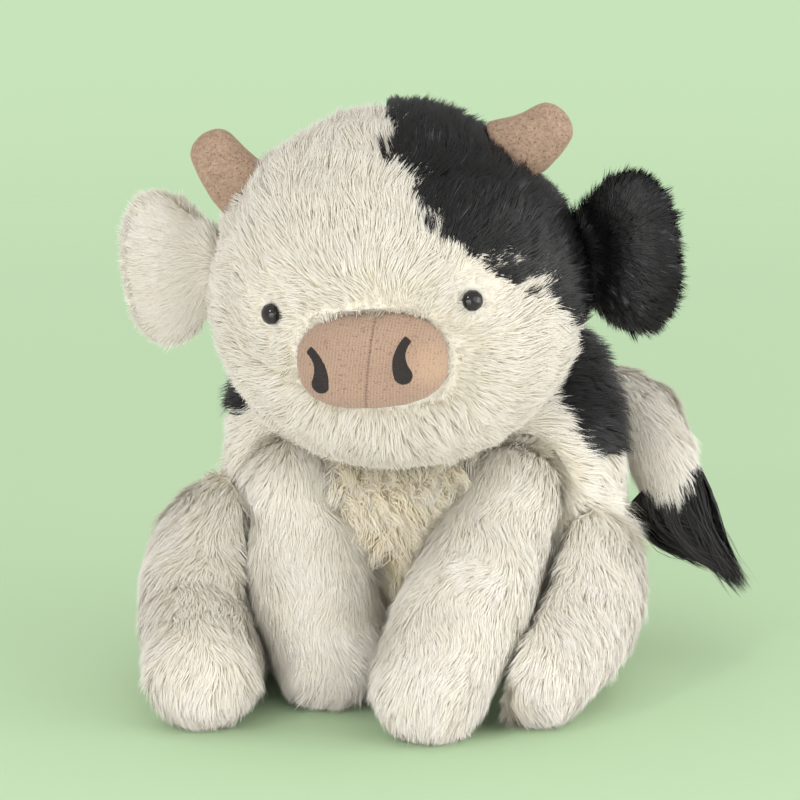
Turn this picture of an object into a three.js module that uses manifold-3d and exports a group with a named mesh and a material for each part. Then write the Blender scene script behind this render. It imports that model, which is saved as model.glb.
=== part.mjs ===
// A sitting plush cow in millimetres, +Z up, facing -Y, its own left side at +X. The origin
// is the middle of the flat seat on the floor. Every soft limb is a pile cover over its own
// stuffing and is rooted in a round socket in the trunk, where it swings on its seam.
import * as THREE from 'three';
import { mergeVertices } from 'three/addons/utils/BufferGeometryUtils.js';
import Module from 'manifold-3d';

const wasm = await Module();
wasm.setup();

// Sizes

const fit = {
  gap: 0.3, // between pieces that touch
  turnGap: 0.6, // between a swinging root and its socket
  slackGap: 0.2, // the least that flat facets leave of it
  seam: 0.45, // between two sewn panels
  press: 1.5, // how far the floor flattens a paw
  overrun: 30, // how far a cutter runs past what it cuts
  weld: 0.002, // corners closer than this are one
  sliver: 0.05, // finer steps left by a cut are smoothed away
};
const pile = { wall: 9 }; // backing cloth and the fur on it

const trunk = { height: 187, halfWidth: 98, halfDepth: 82 };
const head = { halfWidth: 89, halfDepth: 80, halfHeight: 86 };
const sack = { halfWidth: 52, halfDepth: 46, height: 26 }; // pellets in the seat

const muzzle = { halfWidth: 36, halfHeight: 22.5, proud: 6, thick: 13, seam: 1.2, seamDepth: 0.9 };
const nostril = { stroke: 4.2, bulb: 8, length: 20.5, proud: 0.6, sunk: 0.8 };
const eye = { width: 10, dome: 3.6, flange: 1, sink: 4 };
const shank = { width: 3.8, length: 12, ridge: 0.35 };
const washer = { width: 13, thick: 1.5, hub: 7.2, hubThick: 1.2 };
const horn = { halfWidth: 15.5, halfThick: 10.5, sink: 7, bow: 2 };
const ear = { length: 49, halfHeight: 39, halfThick: 10.5, root: 7.5, rootHalfHeight: 21, sink: 1 };

const frontLeg = { root: 26, neckRadius: 23, calf: 31, paw: 29.5, sink: 11, opening: 14 };
const hindLeg = { root: 26, neckRadius: 22, haunch: 53, shin: 34, paw: 28.5, sink: 15, opening: 14 };
const tail = { root: 19, neckRadius: 12, swell: 21.5, end: 16.5, sink: 8, opening: 7, lift: 1 };
const tuft = { length: 63, halfWidth: 21, halfThick: 15, bow: 8 };
const saddle = { front: -57, back: 26, low: { left: 105, right: 118 }, corner: 16 };

// Places as shares of the part that carries them

const neck = { heightShare: 0.765, forwardShare: 0.67, tilt: 45 };
const headSeat = { liftShare: 0.806, shiftShare: 0.18, roll: 6 };
const face = {
  cheekShare: 0.07, // how much wider the head is low down
  eyeAcrossShare: 0.56,
  eyeUpShare: 0.04,
  muzzleUpShare: -0.215,
  noseShiftShare: -0.045, // the seam and the nostrils sit a little to one side
  nostrilAcrossShare: 0.55,
  nostrilUpShares: { left: 0.12, right: 0.02 },
};
const shoulderShares = { height: 0.535, turn: 36 };
const hipShares = { height: 0.29, turn: 98 };
const legPose = {
  left: {
    paw: { outShare: 0.276, forwardShare: 1.84 },
    haunch: { outShare: 0.6, forwardShare: 0.37 },
    foot: { outShare: 0.73, forwardShare: 1.4 },
  },
  right: {
    paw: { outShare: 0.32, forwardShare: 1.2 },
    haunch: { outShare: 0.775, forwardShare: 0.37 },
    foot: { outShare: 0.845, forwardShare: 1.78 },
  },
};
const swings = { front: { left: 35, right: 50 }, hind: 25 }; // how far the legs lift and splay
const kneeOffset = { front: 1, hind: 13 };
const earUpShares = { left: 0.07, right: 0.16 };
const tailPath = [[0.47, 180], [0.545, 161], [0.6, 141], [0.585, 122], [0.46, 109]];
const tuftHang = [0.568, -0.237, -0.789];

// Rows of the trunk from the seat up: height, setback, half-width and half-depth.
const trunkShares = [
  [0, 0, 0.5, 0.48],
  [0.04, 0.024, 0.7, 0.69],
  [0.16, 0.049, 0.857, 0.83],
  [0.32, -0.024, 0.95, 0.95],
  [0.51, -0.146, 1, 1],
  [0.67, -0.122, 0.97, 0.88],
  [0.8, -0.049, 0.888, 0.69],
  [0.91, 0.06, 0.67, 0.48],
  [0.97, 0.11, 0.42, 0.29],
  [1, 0.146, 0.12, 0.08],
];

// The edge of the black patch on the face, seen from the front: across and up.
const patchShares = [
  [-0.01, 1.15], [0, 1], [0.12, 0.88], [0.2, 0.7], [0.31, 0.51], [0.42, 0.37],
  [0.56, 0.28], [0.7, 0.16], [0.83, 0], [0.93, -0.22], [1.15, -0.36],
];

// Horns on the face, across and up: where they root and the middle of the tip.
const hornShares = {
  left: { root: [0.62, 0.67], tip: [0.91, 0.82] },
  right: { root: [-0.68, 0.49], tip: [-0.92, 0.82] },
  setback: 0.08,
};

const X = new THREE.Vector3(1, 0, 0);
const Y = new THREE.Vector3(0, 1, 0);
const Z = new THREE.Vector3(0, 0, 1);
const quarter = Math.PI / 2;
const radians = THREE.MathUtils.degToRad;
const sideSigns = { left: 1, right: -1 };

// Solids

// A closed mesh as a solid that can be cut and joined.
function solid(geometry) {
  const bare = new THREE.BufferGeometry();
  bare.setAttribute('position', geometry.getAttribute('position').clone());
  if (geometry.index) bare.setIndex(geometry.index.clone());
  const merged = mergeVertices(bare, fit.weld);
  const corners = [];
  for (let i = 0; i < merged.index.count; i += 3) {
    const [a, b, c] = [0, 1, 2].map((k) => merged.index.getX(i + k));
    if (a !== b && b !== c && c !== a) corners.push(a, b, c);
  }
  const vertProperties = Float32Array.from(merged.attributes.position.array);
  const triVerts = Uint32Array.from(corners);
  return new wasm.Manifold(new wasm.Mesh({ numProp: 3, vertProperties, triVerts }));
}

function cut(body, ...cutters) {
  return cutters.flat().reduce((left, cutter) => left.subtract(cutter), body);
}

// The mesh of a solid's largest body; a cut may leave scraps beside it.
function piece(name, body, material) {
  const bodies = body.simplify(fit.sliver).decompose();
  const [largest] = bodies.sort((a, b) => b.volume() - a.volume());
  const { vertProperties, triVerts } = largest.getMesh();
  const geometry = new THREE.BufferGeometry();
  geometry.setAttribute('position', new THREE.BufferAttribute(vertProperties, 3));
  geometry.setIndex(new THREE.BufferAttribute(triVerts, 1));
  geometry.computeVertexNormals();
  const mesh = new THREE.Mesh(geometry, material);
  mesh.name = name;
  return mesh;
}

function middle(points) {
  const sum = points.reduce((total, p) => total.add(p), new THREE.Vector3());
  return sum.divideScalar(points.length);
}

// A closed skin over rings of points that run anticlockwise as seen from the next ring.
function skin(rings) {
  const sides = rings[0].length;
  const points = rings.flat();
  const start = points.push(middle(rings[0])) - 1;
  const end = points.push(middle(rings[rings.length - 1])) - 1;
  const top = (rings.length - 1) * sides;
  const faces = [];
  for (let j = 0; j < sides; j++) {
    const k = (j + 1) % sides;
    faces.push(start, k, j, end, top + j, top + k);
    for (let low = 0; low < top; low += sides) {
      const high = low + sides;
      faces.push(low + j, low + k, high + k, low + j, high + k, high + j);
    }
  }
  const geometry = new THREE.BufferGeometry().setFromPoints(points);
  geometry.setIndex(faces);
  return geometry;
}

// A tube along a curve with a round end. Its section's half-width, along the direction
// called wide, and half-thickness follow sizeAt. A stout tube keeps its sections parallel.
function tube(curve, sizeAt, wide, { rings, sides, capRings = 3, stout = false }) {
  const chord = curve.getPoint(1).sub(curve.getPoint(0)).normalize();
  const ringAt = (t, reach, narrow) => {
    const tangent = stout ? chord : curve.getTangent(t);
    const thin = new THREE.Vector3().crossVectors(tangent, wide).normalize();
    const across = new THREE.Vector3().crossVectors(thin, tangent);
    const centre = curve.getPoint(t).addScaledVector(tangent, reach);
    const [halfWidth, halfThick] = sizeAt(t);
    return Array.from({ length: sides }, (_, j) => {
      const angle = (j / sides) * Math.PI * 2;
      return centre.clone()
        .addScaledVector(across, halfWidth * narrow * Math.cos(angle))
        .addScaledVector(thin, halfThick * narrow * Math.sin(angle));
    });
  };
  const stations = [];
  for (let i = 0; i <= rings; i++) stations.push(ringAt(i / rings, 0, 1));
  const capReach = Math.min(...sizeAt(1));
  for (let i = 1; i <= capRings; i++) {
    const angle = (quarter * i) / (capRings + 1 / capRings);
    stations.push(ringAt(1, capReach * Math.sin(angle), Math.cos(angle)));
  }
  return solid(skin(stations));
}

// Enough facets round a turning root to keep clear of the flats of its socket.
function turnSteps(radius) {
  const facet = Math.acos((radius + fit.slackGap) / (radius + fit.turnGap));
  return 2 * Math.ceil(quarter / facet);
}

// A ball with its poles on an axis. It is drawn out along that axis when a length is given.
function ball(centre, radius, axis, steps, halfLength = radius) {
  const geometry = new THREE.SphereGeometry(radius, steps, Math.max(6, Math.round(steps / 4)));
  geometry.scale(1, halfLength / radius, 1);
  geometry.applyQuaternion(new THREE.Quaternion().setFromUnitVectors(Y, axis));
  return solid(geometry.translate(centre.x, centre.y, centre.z));
}

function rod(from, direction, length, radius, sides = 16) {
  const geometry = new THREE.CylinderGeometry(radius, radius, length, sides);
  geometry.translate(0, length / 2, 0);
  geometry.applyQuaternion(new THREE.Quaternion().setFromUnitVectors(Y, direction.clone().normalize()));
  return solid(geometry.translate(from.x, from.y, from.z));
}

function block(low, high) {
  const size = high.map((value, i) => value - low[i]);
  const centre = high.map((value, i) => (value + low[i]) / 2);
  return solid(new THREE.BoxGeometry(...size).translate(...centre));
}

// A flat outline in x and z, drawn out along y.
function slab(shape, from, to) {
  const geometry = new THREE.ExtrudeGeometry(shape, { depth: to - from, bevelEnabled: false, curveSegments: 5 });
  return solid(geometry.rotateX(quarter).translate(0, to, 0));
}

// A smooth run through rows whose first entry is the step.
function through(rows) {
  const run = new THREE.CubicInterpolant(rows.map((row) => row[0]), rows.flatMap((row) => row.slice(1)),
    rows[0].length - 1);
  return (t) => Array.from(run.evaluate(t));
}

function curveThrough(...points) {
  return new THREE.CatmullRomCurve3(points, false, 'centripetal');
}

// Trunk

const trunkRow = through(trunkShares);
const fineTrunk = { sides: 26, rings: 11 };
const coarseTrunk = { sides: 16, rings: 7 };

function trunkForm(inset, { sides, rings }) {
  const low = Math.max(inset, 0);
  const narrowest = 0.3;
  const shrink = (size) => Math.max(size - inset, size * narrowest);
  const stations = Array.from({ length: rings + 1 }, (_, i) => {
    const share = (1 - Math.cos((i / rings) * Math.PI)) / 2;
    const [setback, wide, deep] = trunkRow(share);
    const halfWidth = shrink(trunk.halfWidth * wide);
    const halfDepth = shrink(trunk.halfDepth * deep);
    return Array.from({ length: sides }, (__, j) => {
      const angle = (j / sides) * Math.PI * 2;
      const y = trunk.halfDepth * setback - halfDepth * Math.cos(angle);
      return new THREE.Vector3(halfWidth * Math.sin(angle), y, low + (trunk.height - low * 2) * share);
    });
  });
  return solid(skin(stations));
}

// A point off the trunk's surface, at a share of its height and turned from the front.
function onTrunk(heightShare, turn, outward) {
  const angle = radians(turn);
  const [setback, wide, deep] = trunkRow(heightShare);
  const [halfWidth, halfDepth] = [trunk.halfWidth * wide, trunk.halfDepth * deep];
  const normal = new THREE.Vector3(Math.sin(angle) / halfWidth, -Math.cos(angle) / halfDepth, 0).normalize();
  const point = new THREE.Vector3(
    halfWidth * Math.sin(angle),
    trunk.halfDepth * setback - halfDepth * Math.cos(angle),
    trunk.height * heightShare,
  );
  return point.addScaledVector(normal, outward);
}

const neckPoint = new THREE.Vector3(0, -trunk.halfDepth * neck.forwardShare, trunk.height * neck.heightShare);
const neckAxis = Z.clone().applyAxisAngle(X, radians(neck.tilt));

// All that lies on one side of the neck.
function besideNeck(direction) {
  const start = neckPoint.clone().addScaledVector(neckAxis, (direction * fit.seam) / 2);
  const reach = trunk.height * 2;
  return rod(start, neckAxis.clone().multiplyScalar(direction), reach, reach, 12);
}

const farOut = trunk.height * 2;
const underFloor = block([-farOut, -farOut, -farOut], [farOut, farOut, 0]);
const trunkOuter = trunkForm(0, fineTrunk).intersect(besideNeck(-1));
const trunkGrown = trunkForm(-fit.gap, fineTrunk);
const trunkCore = trunkForm(pile.wall, coarseTrunk);
const trunkFill = trunkForm(pile.wall + fit.gap, coarseTrunk);

// Limbs

const outerTube = { sides: 12, rings: 5, stout: true };
const innerTube = { sides: 8, rings: 3, capRings: 2, stout: true };

function taper(...radii) {
  const run = through(radii.map((radius, i) => [i / (radii.length - 1), radius]));
  return (inset) => (t) => [run(t)[0] - inset, run(t)[0] - inset];
}

// All that a limb reaches as it swings about x: at each place across, the farthest that any
// of its round sections stands from the hinge, turned all the way round.
function sweptDisc({ root, radius, curve, sizeAt, grow }) {
  const [sections, samples, facets] = [24, 18, 32];
  const rounds = [{ across: root.x, out: 0, size: radius + grow }];
  for (let i = 0; i <= sections; i++) {
    const point = curve.getPoint(i / sections);
    rounds.push({ across: point.x, out: Math.hypot(point.y - root.y, point.z - root.z), size: sizeAt(i / sections)[0] });
  }
  const low = Math.min(...rounds.map(({ across, size }) => across - size));
  const high = Math.max(...rounds.map(({ across, size }) => across + size));
  const reachAt = (x) => Math.max(...rounds.map(({ across, out, size }) => (
    Math.abs(x - across) < size ? out + Math.sqrt(size ** 2 - (x - across) ** 2) : 0)));
  const profile = [new THREE.Vector2(0, low)];
  for (let i = 0; i <= samples; i++) {
    const x = low + ((high - low) * (1 - Math.cos((i / samples) * Math.PI))) / 2;
    if (i > 0 && i < samples) profile.push(new THREE.Vector2(reachAt(x) / Math.cos(Math.PI / facets), x));
  }
  profile.push(new THREE.Vector2(0, high));
  const geometry = new THREE.LatheGeometry(profile, facets).rotateZ(-quarter);
  return solid(geometry.translate(0, root.y, root.z));
}

// A body turned about a hinge that runs through a point.
function swung(body, root, hinge, degrees) {
  const turn = new THREE.Matrix4().makeRotationAxis(hinge, radians(degrees));
  const back = new THREE.Matrix4().makeTranslation(root.clone().negate());
  return body.transform(turn.premultiply(new THREE.Matrix4().makeTranslation(root)).multiply(back).elements);
}

// A limb is a ball in its socket with a tube drawn out of it, pressed against the trunk and
// the limb beside it and trimmed to pass the trunk on its way through its swing. Its stuffing
// meets the trunk's through an opening in the ball.
function limb({
  root, hinge, radius, opening, curve, sizes, wide, outer = outerTube, inner = innerTube, beside, swing = [],
}) {
  const steps = turnSteps(radius);
  const form = (grow) => tube(curve, sizes(-grow), wide, outer);
  const pressedBy = (grow) => (beside ? [beside.sweep(grow)] : []);
  const passed = swing.map((degrees) => swung(trunkForm(-fit.turnGap, fineTrunk), root, hinge, degrees));
  const body = cut(form(0), trunkGrown, passed, pressedBy(fit.gap)).add(ball(root, radius, hinge, steps));
  const inward = new THREE.Vector3(-root.x, -root.y, 0);
  const core = (inset, grow) => {
    const within = tube(curve, sizes(inset), wide, inner);
    const nearRoot = ball(root, radius + pile.wall + grow, hinge, steps);
    return cut(within, trunkForm(-inset, coarseTrunk), pressedBy(inset))
      .add(within.intersect(nearRoot))
      .add(ball(root, radius - inset, hinge, Math.round(steps * 0.6)))
      .add(rod(root, inward, radius + fit.overrun, opening + grow, 10));
  };
  return {
    form,
    sweep: (grow) => sweptDisc({ root, radius, curve, sizeAt: sizes(-grow), grow }),
    cover: cut(body, core(pile.wall, 0)),
    stuffing: core(pile.wall + fit.gap, -fit.gap).intersect(body),
    socket: ball(root, radius + fit.turnGap, hinge, steps),
  };
}

function pawPoint(side, place, radius) {
  const x = sideSigns[side] * trunk.halfWidth * place.outShare;
  return new THREE.Vector3(x, -trunk.halfDepth * place.forwardShare, radius - fit.press);
}

function frontLimb(side) {
  const sign = sideSigns[side];
  const root = onTrunk(shoulderShares.height, sign * shoulderShares.turn, -frontLeg.sink);
  const end = pawPoint(side, legPose[side].paw, frontLeg.paw);
  const knee = root.clone().lerp(end, 0.5).addScaledVector(X, sign * kneeOffset.front);
  return limb({
    root,
    hinge: X,
    radius: frontLeg.root,
    opening: frontLeg.opening,
    curve: curveThrough(root, knee, end),
    sizes: taper(frontLeg.neckRadius, frontLeg.calf, frontLeg.paw),
    wide: X,
    swing: [1, 2, 3].map((step) => (swings.front[side] * step) / 3),
  });
}

function hindLimb(side) {
  const sign = sideSigns[side];
  const root = onTrunk(hipShares.height, sign * hipShares.turn, -hindLeg.sink);
  const haunch = pawPoint(side, legPose[side].haunch, hindLeg.haunch);
  const end = pawPoint(side, legPose[side].foot, hindLeg.paw);
  const knee = haunch.clone().lerp(end, 0.5).addScaledVector(X, sign * kneeOffset.hind);
  return limb({
    root,
    hinge: Z,
    radius: hindLeg.root,
    opening: hindLeg.opening,
    curve: curveThrough(root, haunch, knee, end),
    sizes: taper(hindLeg.neckRadius, hindLeg.haunch, hindLeg.shin, hindLeg.paw),
    wide: X,
    outer: { ...outerTube, sides: 16, rings: 8 },
    inner: { ...innerTube, rings: 5 },
    beside: frontLimbs[side],
    swing: [-sign * swings.hind],
  });
}

const frontLimbs = { left: frontLimb('left'), right: frontLimb('right') };
const hindLimbs = { left: hindLimb('left'), right: hindLimb('right') };

const tailPoints = tailPath.map(([heightShare, turn], i) => (
  onTrunk(heightShare, turn, i === 0 ? -tail.sink : tail.swell + tail.lift)));
const tailCurve = curveThrough(...tailPoints);
const tailLimb = limb({
  root: tailPoints[0],
  hinge: Z,
  radius: tail.root,
  opening: tail.opening,
  curve: tailCurve,
  sizes: taper(tail.neckRadius, tail.swell, tail.swell, tail.end),
  wide: Z,
  outer: { sides: 12, rings: 7 },
  inner: { sides: 8, rings: 5, capRings: 1 },
});

// The long hair at the end of the tail hangs in one lock, swollen and then pointed.
const tuftStart = tailCurve.getPoint(1);
const tuftEnd = tuftStart.clone().addScaledVector(new THREE.Vector3(...tuftHang), tuft.length);
const tuftKnee = tuftStart.clone().lerp(tuftEnd, 0.45).addScaledVector(X, -tuft.bow);
const tuftShares = through([[0, 0.8], [0.35, 1], [0.75, 0.62], [1, 0.12]]);
const tuftSize = (t) => [tuft.halfWidth, tuft.halfThick].map((size) => size * tuftShares(t)[0]);
const tuftSolid = cut(
  tube(curveThrough(tuftStart, tuftKnee, tuftEnd), tuftSize, X, { sides: 12, rings: 6, capRings: 1 }),
  tailLimb.form(fit.gap),
);

// Trunk pieces

const limbs = [frontLimbs.left, frontLimbs.right, hindLimbs.left, hindLimbs.right, tailLimb];
const sockets = limbs.map((each) => each.socket);

// The black panel over the back, cut out along an outline seen from the side.
// The black saddle hangs lower on one side than on the other.
function saddleCutter(grow) {
  const [front, back] = [saddle.front - grow, saddle.back + grow];
  const top = trunk.height + fit.overrun;
  const reach = trunk.halfWidth + fit.overrun;
  const round = saddle.corner;
  const [left, right] = ['left', 'right'].map((side) => {
    const low = saddle.low[side] - grow;
    const outline = new THREE.Shape();
    outline.moveTo(front + round, low);
    outline.absarc(back - round, low + round, round, -quarter, 0);
    outline.lineTo(back, top);
    outline.lineTo(front, top);
    outline.absarc(front + round, low + round, round, Math.PI, Math.PI + quarter);
    return side === 'left' ? slab(outline, -reach, 0) : slab(outline, 0, reach);
  });
  return left.add(right).rotate([0, 0, 90]);
}

function sackForm(grow) {
  const geometry = new THREE.SphereGeometry(1, 16, 8).rotateX(quarter);
  geometry.scale(sack.halfWidth + grow, sack.halfDepth + grow, sack.height + grow);
  return solid(geometry.translate(0, 0, pile.wall));
}

const trunkShell = cut(trunkOuter, trunkCore, sockets, underFloor);
const saddlePatch = trunkShell.intersect(saddleCutter(0));
const trunkCover = cut(trunkShell, saddleCutter(fit.seam));
const pelletSack = sackForm(0).intersect(trunkFill);
const trunkStuffing = cut(trunkFill.intersect(besideNeck(-1)), sockets, sackForm(fit.gap));

// Head, drawn upright and then rolled a little to one side

const headGroup = new THREE.Group();
const upNeck = Y.clone().applyAxisAngle(X, radians(neck.tilt));
headGroup.position.copy(neckPoint)
  .addScaledVector(neckAxis, head.halfHeight * headSeat.liftShare)
  .addScaledVector(upNeck, head.halfHeight * headSeat.shiftShare);
headGroup.rotation.y = -radians(headSeat.roll);
headGroup.updateMatrixWorld(true);

const fineHead = { sides: 26, rings: 14 };
const coarseHead = { sides: 14, rings: 8 };

function headForm(inset, { sides, rings }) {
  const geometry = new THREE.SphereGeometry(1, sides, rings).rotateX(quarter);
  const at = geometry.getAttribute('position');
  for (let i = 0; i < at.count; i++) {
    const spread = 1 - face.cheekShare * at.getZ(i);
    const x = at.getX(i) * spread * (head.halfWidth - inset);
    const y = at.getY(i) * spread * (head.halfDepth - inset);
    at.setXYZ(i, x, y, at.getZ(i) * (head.halfHeight - inset));
  }
  return solid(geometry);
}

// The point on the face at x and z, moved outward along the normal there.
function onFace(x, z, outward) {
  const spread = 1 - (face.cheekShare * z) / head.halfHeight;
  const radii = [head.halfWidth * spread, head.halfDepth * spread, head.halfHeight];
  const y = -radii[1] * Math.sqrt(1 - (x / radii[0]) ** 2 - (z / radii[2]) ** 2);
  const point = new THREE.Vector3(x, y, z);
  const normal = new THREE.Vector3(...point.toArray().map((value, i) => value / radii[i] ** 2)).normalize();
  return { point: point.addScaledVector(normal, outward), normal };
}

const headSide = besideNeck(1).transform(headGroup.matrixWorld.clone().invert().elements);
const headOuter = headForm(0, fineHead).intersect(headSide);
const headCore = headForm(pile.wall, coarseHead);
const headFill = headForm(pile.wall + fit.gap, coarseHead).intersect(headSide);

// Muzzle: a padded panel let into the face, with a seam down its middle

const muzzleFront = onFace(0, head.halfHeight * face.muzzleUpShare, muzzle.proud).point;
const muzzleBack = muzzleFront.y + muzzle.thick;
const noseX = head.halfWidth * face.noseShiftShare;

function muzzleForm(grow) {
  const geometry = new THREE.SphereGeometry(1, 20, 10);
  const fullness = 0.78; // under 1 fills the corners out
  const fill = (value) => Math.sign(value) * Math.abs(value) ** fullness;
  const at = geometry.getAttribute('position');
  for (let i = 0; i < at.count; i++) {
    const x = fill(at.getX(i)) * (muzzle.halfWidth + grow);
    const z = fill(at.getZ(i)) * (muzzle.halfHeight + grow);
    at.setXYZ(i, x, at.getY(i) * (muzzle.thick + grow), z);
  }
  const back = block([-farOut, muzzleBack + Math.max(grow, 0), -farOut], [farOut, farOut, farOut]);
  return cut(solid(geometry.translate(0, muzzleBack, muzzleFront.z)), back);
}

// A nostril's outline is a stroke that bends down into a round bulb.
function nostrilCutter(side, grow) {
  const bulb = nostril.bulb / 2 + grow;
  const stroke = nostril.stroke / 2 + grow;
  const rise = (nostril.length - nostril.bulb / 2) / 2;
  const line = new THREE.QuadraticBezierCurve(
    new THREE.Vector2(rise * 0.45, rise),
    new THREE.Vector2(-rise * 0.4, rise * 0.2),
    new THREE.Vector2(0, -rise),
  );
  const width = through([[0, stroke * 0.75], [0.4, stroke], [1, bulb]]);
  const steps = 8;
  const edge = (t, way) => {
    const tangent = line.getTangent(t);
    return line.getPoint(t).add(new THREE.Vector2(-tangent.y, tangent.x).multiplyScalar(way * width(t)[0]));
  };
  const shape = new THREE.Shape();
  const first = edge(0, -1);
  shape.moveTo(first.x, first.y);
  for (let i = 0; i <= steps; i++) shape.lineTo(...edge(i / steps, 1).toArray());
  const foot = line.getPoint(1);
  const heading = line.getTangent(1).angle() + quarter;
  shape.absarc(foot.x, foot.y, bulb, heading, heading - Math.PI * 1.02, true);
  for (let i = steps - 1; i > 0; i--) shape.lineTo(...edge(i / steps, -1).toArray());
  const cutter = slab(shape, -farOut, muzzleBack - muzzle.thick / 3);
  const across = muzzle.halfWidth * face.nostrilAcrossShare;
  const up = muzzle.halfHeight * face.nostrilUpShares[side];
  const facing = side === 'left' ? cutter : cutter.mirror([1, 0, 0]);
  return facing.translate([noseX + sideSigns[side] * across, 0, muzzleFront.z + up]);
}

const seamSides = [noseX - muzzle.seam / 2, noseX + muzzle.seam / 2];
const seamGroove = cut(
  block([seamSides[0], -farOut, -farOut], [seamSides[1], farOut, farOut]),
  muzzleForm(-muzzle.seamDepth),
);
const nostrilBeds = ['left', 'right'].map((side) => (
  cut(nostrilCutter(side, fit.gap), muzzleForm(-nostril.sunk - fit.gap))));
const muzzlePanel = cut(muzzleForm(0), seamGroove, nostrilBeds);
const nostrilSolid = (side) => (
  cut(nostrilCutter(side, 0).intersect(muzzleForm(nostril.proud)), muzzleForm(-nostril.sunk)));

// Eyes: a dome on a ridged shank, held behind the cloth by a washer

const turnedSides = 10;

function turned(profile) {
  return new THREE.LatheGeometry(profile.map(([r, y]) => new THREE.Vector2(r, y)), turnedSides);
}

function eyeGeometry() {
  const [radius, stem] = [eye.width / 2, shank.width / 2];
  const end = -eye.flange - shank.length;
  const profile = [[0, end], [stem, end]];
  for (const share of [0.7, 0.4]) {
    const y = end * share;
    profile.push([stem, y - shank.ridge], [stem + shank.ridge, y], [stem, y + shank.ridge]);
  }
  profile.push([stem, -eye.flange], [radius, -eye.flange]);
  for (const share of [0, 0.33, 0.67, 1]) {
    profile.push([radius * Math.cos(quarter * share), eye.dome * Math.sin(quarter * share)]);
  }
  return turned(profile);
}

const shankHole = shank.width / 2 + shank.ridge + fit.gap;

function washerGeometry() {
  const [rim, hub, top] = [washer.width / 2, washer.hub / 2, washer.thick + washer.hubThick];
  return turned([
    [shankHole, 0], [hub, 0], [hub, washer.hubThick], [rim, washer.hubThick], [rim, top], [shankHole, top], [shankHole, 0],
  ]);
}

const eyeSeats = Object.fromEntries(['left', 'right'].map((side) => {
  const x = sideSigns[side] * head.halfWidth * face.eyeAcrossShare;
  return [side, onFace(x, head.halfHeight * face.eyeUpShare, -eye.sink)];
}));

// A turned part stood on an eye's seat, some way along the normal.
function onSeat(geometry, { point, normal }, along) {
  const place = point.clone().addScaledVector(normal, along);
  geometry.applyQuaternion(new THREE.Quaternion().setFromUnitVectors(Y, normal));
  return solid(geometry.translate(...place.toArray()));
}

// The cloth is pressed flat under the dome's rim and under the washer.
const washerFront = eye.sink - pile.wall;
const washerPocket = washer.width / 2 + fit.gap;
const eyeHoles = Object.values(eyeSeats).map(({ point, normal }) => {
  const inward = normal.clone().negate();
  const lip = point.clone().addScaledVector(inward, eye.flange + fit.gap);
  const flat = point.clone().addScaledVector(normal, washerFront + fit.gap);
  return rod(point, inward, pile.wall * 2, shankHole, turnedSides)
    .add(rod(lip, normal, fit.overrun, eye.width / 2 + eye.flange, turnedSides))
    .add(rod(flat, inward, pile.wall, washerPocket, turnedSides));
});
const eyePockets = Object.values(eyeSeats).map(({ point, normal }) => (
  rod(point, normal.clone().negate(), eye.flange + shank.length + fit.gap, washerPocket, turnedSides)));

// Horns: flattened suede cones with round tips, rooted in the pile

const hornDepth = -head.halfDepth * hornShares.setback;
const hornPoint = ([across, up]) => new THREE.Vector3(across * head.halfWidth, -hornDepth, up * head.halfHeight);

function hornForm(side, grow) {
  const root = hornPoint(hornShares[side].root);
  const tip = hornPoint(hornShares[side].tip);
  const lean = tip.clone().sub(root).normalize();
  const wide = new THREE.Vector3(-lean.z, 0, lean.x);
  const knee = root.clone().lerp(tip, 0.5).addScaledVector(wide, -sideSigns[side] * horn.bow);
  const shares = through([[0, 1.1], [0.5, 0.96], [1, 0.76]]);
  const sizeAt = (t) => [horn.halfWidth, horn.halfThick].map((size) => size * shares(t)[0] + grow);
  return tube(curveThrough(root, knee, tip), sizeAt, wide, { sides: 12, rings: 4 });
}

const hornSolid = (side) => cut(hornForm(side, 0), headForm(horn.sink, coarseHead));
const hornHoles = ['left', 'right'].map((side) => (
  cut(hornForm(side, fit.gap), headForm(horn.sink + fit.gap, coarseHead))));

// Ears: two layers of cloth sewn into the side of the head, where they swing

const earPoints = Object.fromEntries(['left', 'right'].map((side) => [
  side,
  new THREE.Vector3(
    sideSigns[side] * (head.halfWidth - ear.sink),
    head.halfDepth * 0.15,
    head.halfHeight * earUpShares[side],
  ),
]));
const earSteps = turnSteps(ear.root);

function earSolid(side) {
  const root = earPoints[side];
  const end = root.clone().addScaledVector(X, sideSigns[side] * (ear.length - ear.halfThick));
  const shares = through([[0, 0.5, 0.5], [0.3, 0.84, 0.86], [0.65, 1, 1], [0.9, 0.9, 0.8], [1, 0.78, 0.62]]);
  const sizeAt = (t) => [ear.halfHeight * shares(t)[0], ear.halfThick * shares(t)[1]];
  const petal = tube(new THREE.LineCurve3(root, end), sizeAt, Z, { sides: 12, rings: 5, capRings: 2 });
  return petal.add(ball(root, ear.root, Z, earSteps, ear.rootHalfHeight));
}

const earSockets = Object.values(earPoints).map((root) => (
  ball(root, ear.root + fit.turnGap, Z, earSteps, ear.rootHalfHeight + fit.turnGap)));

// The black patch of the head is all that lies outside its edge, front and back.
function patchCutter(grow) {
  const edge = patchShares.map(([x, z]) => new THREE.Vector2(x * head.halfWidth - grow, z * head.halfHeight - grow));
  const shape = new THREE.Shape(new THREE.SplineCurve(edge).getPoints(20));
  shape.lineTo(farOut, edge[edge.length - 1].y);
  shape.lineTo(farOut, farOut);
  shape.lineTo(0, farOut);
  return slab(shape, -farOut, farOut);
}

const headShell = cut(headOuter, headCore, muzzleForm(fit.gap), eyeHoles, hornHoles, earSockets);
const headPatch = headShell.intersect(patchCutter(0));
const headCover = cut(headShell, patchCutter(fit.seam));
const headStuffing = cut(headFill, eyePockets, earSockets);

// Materials

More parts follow.
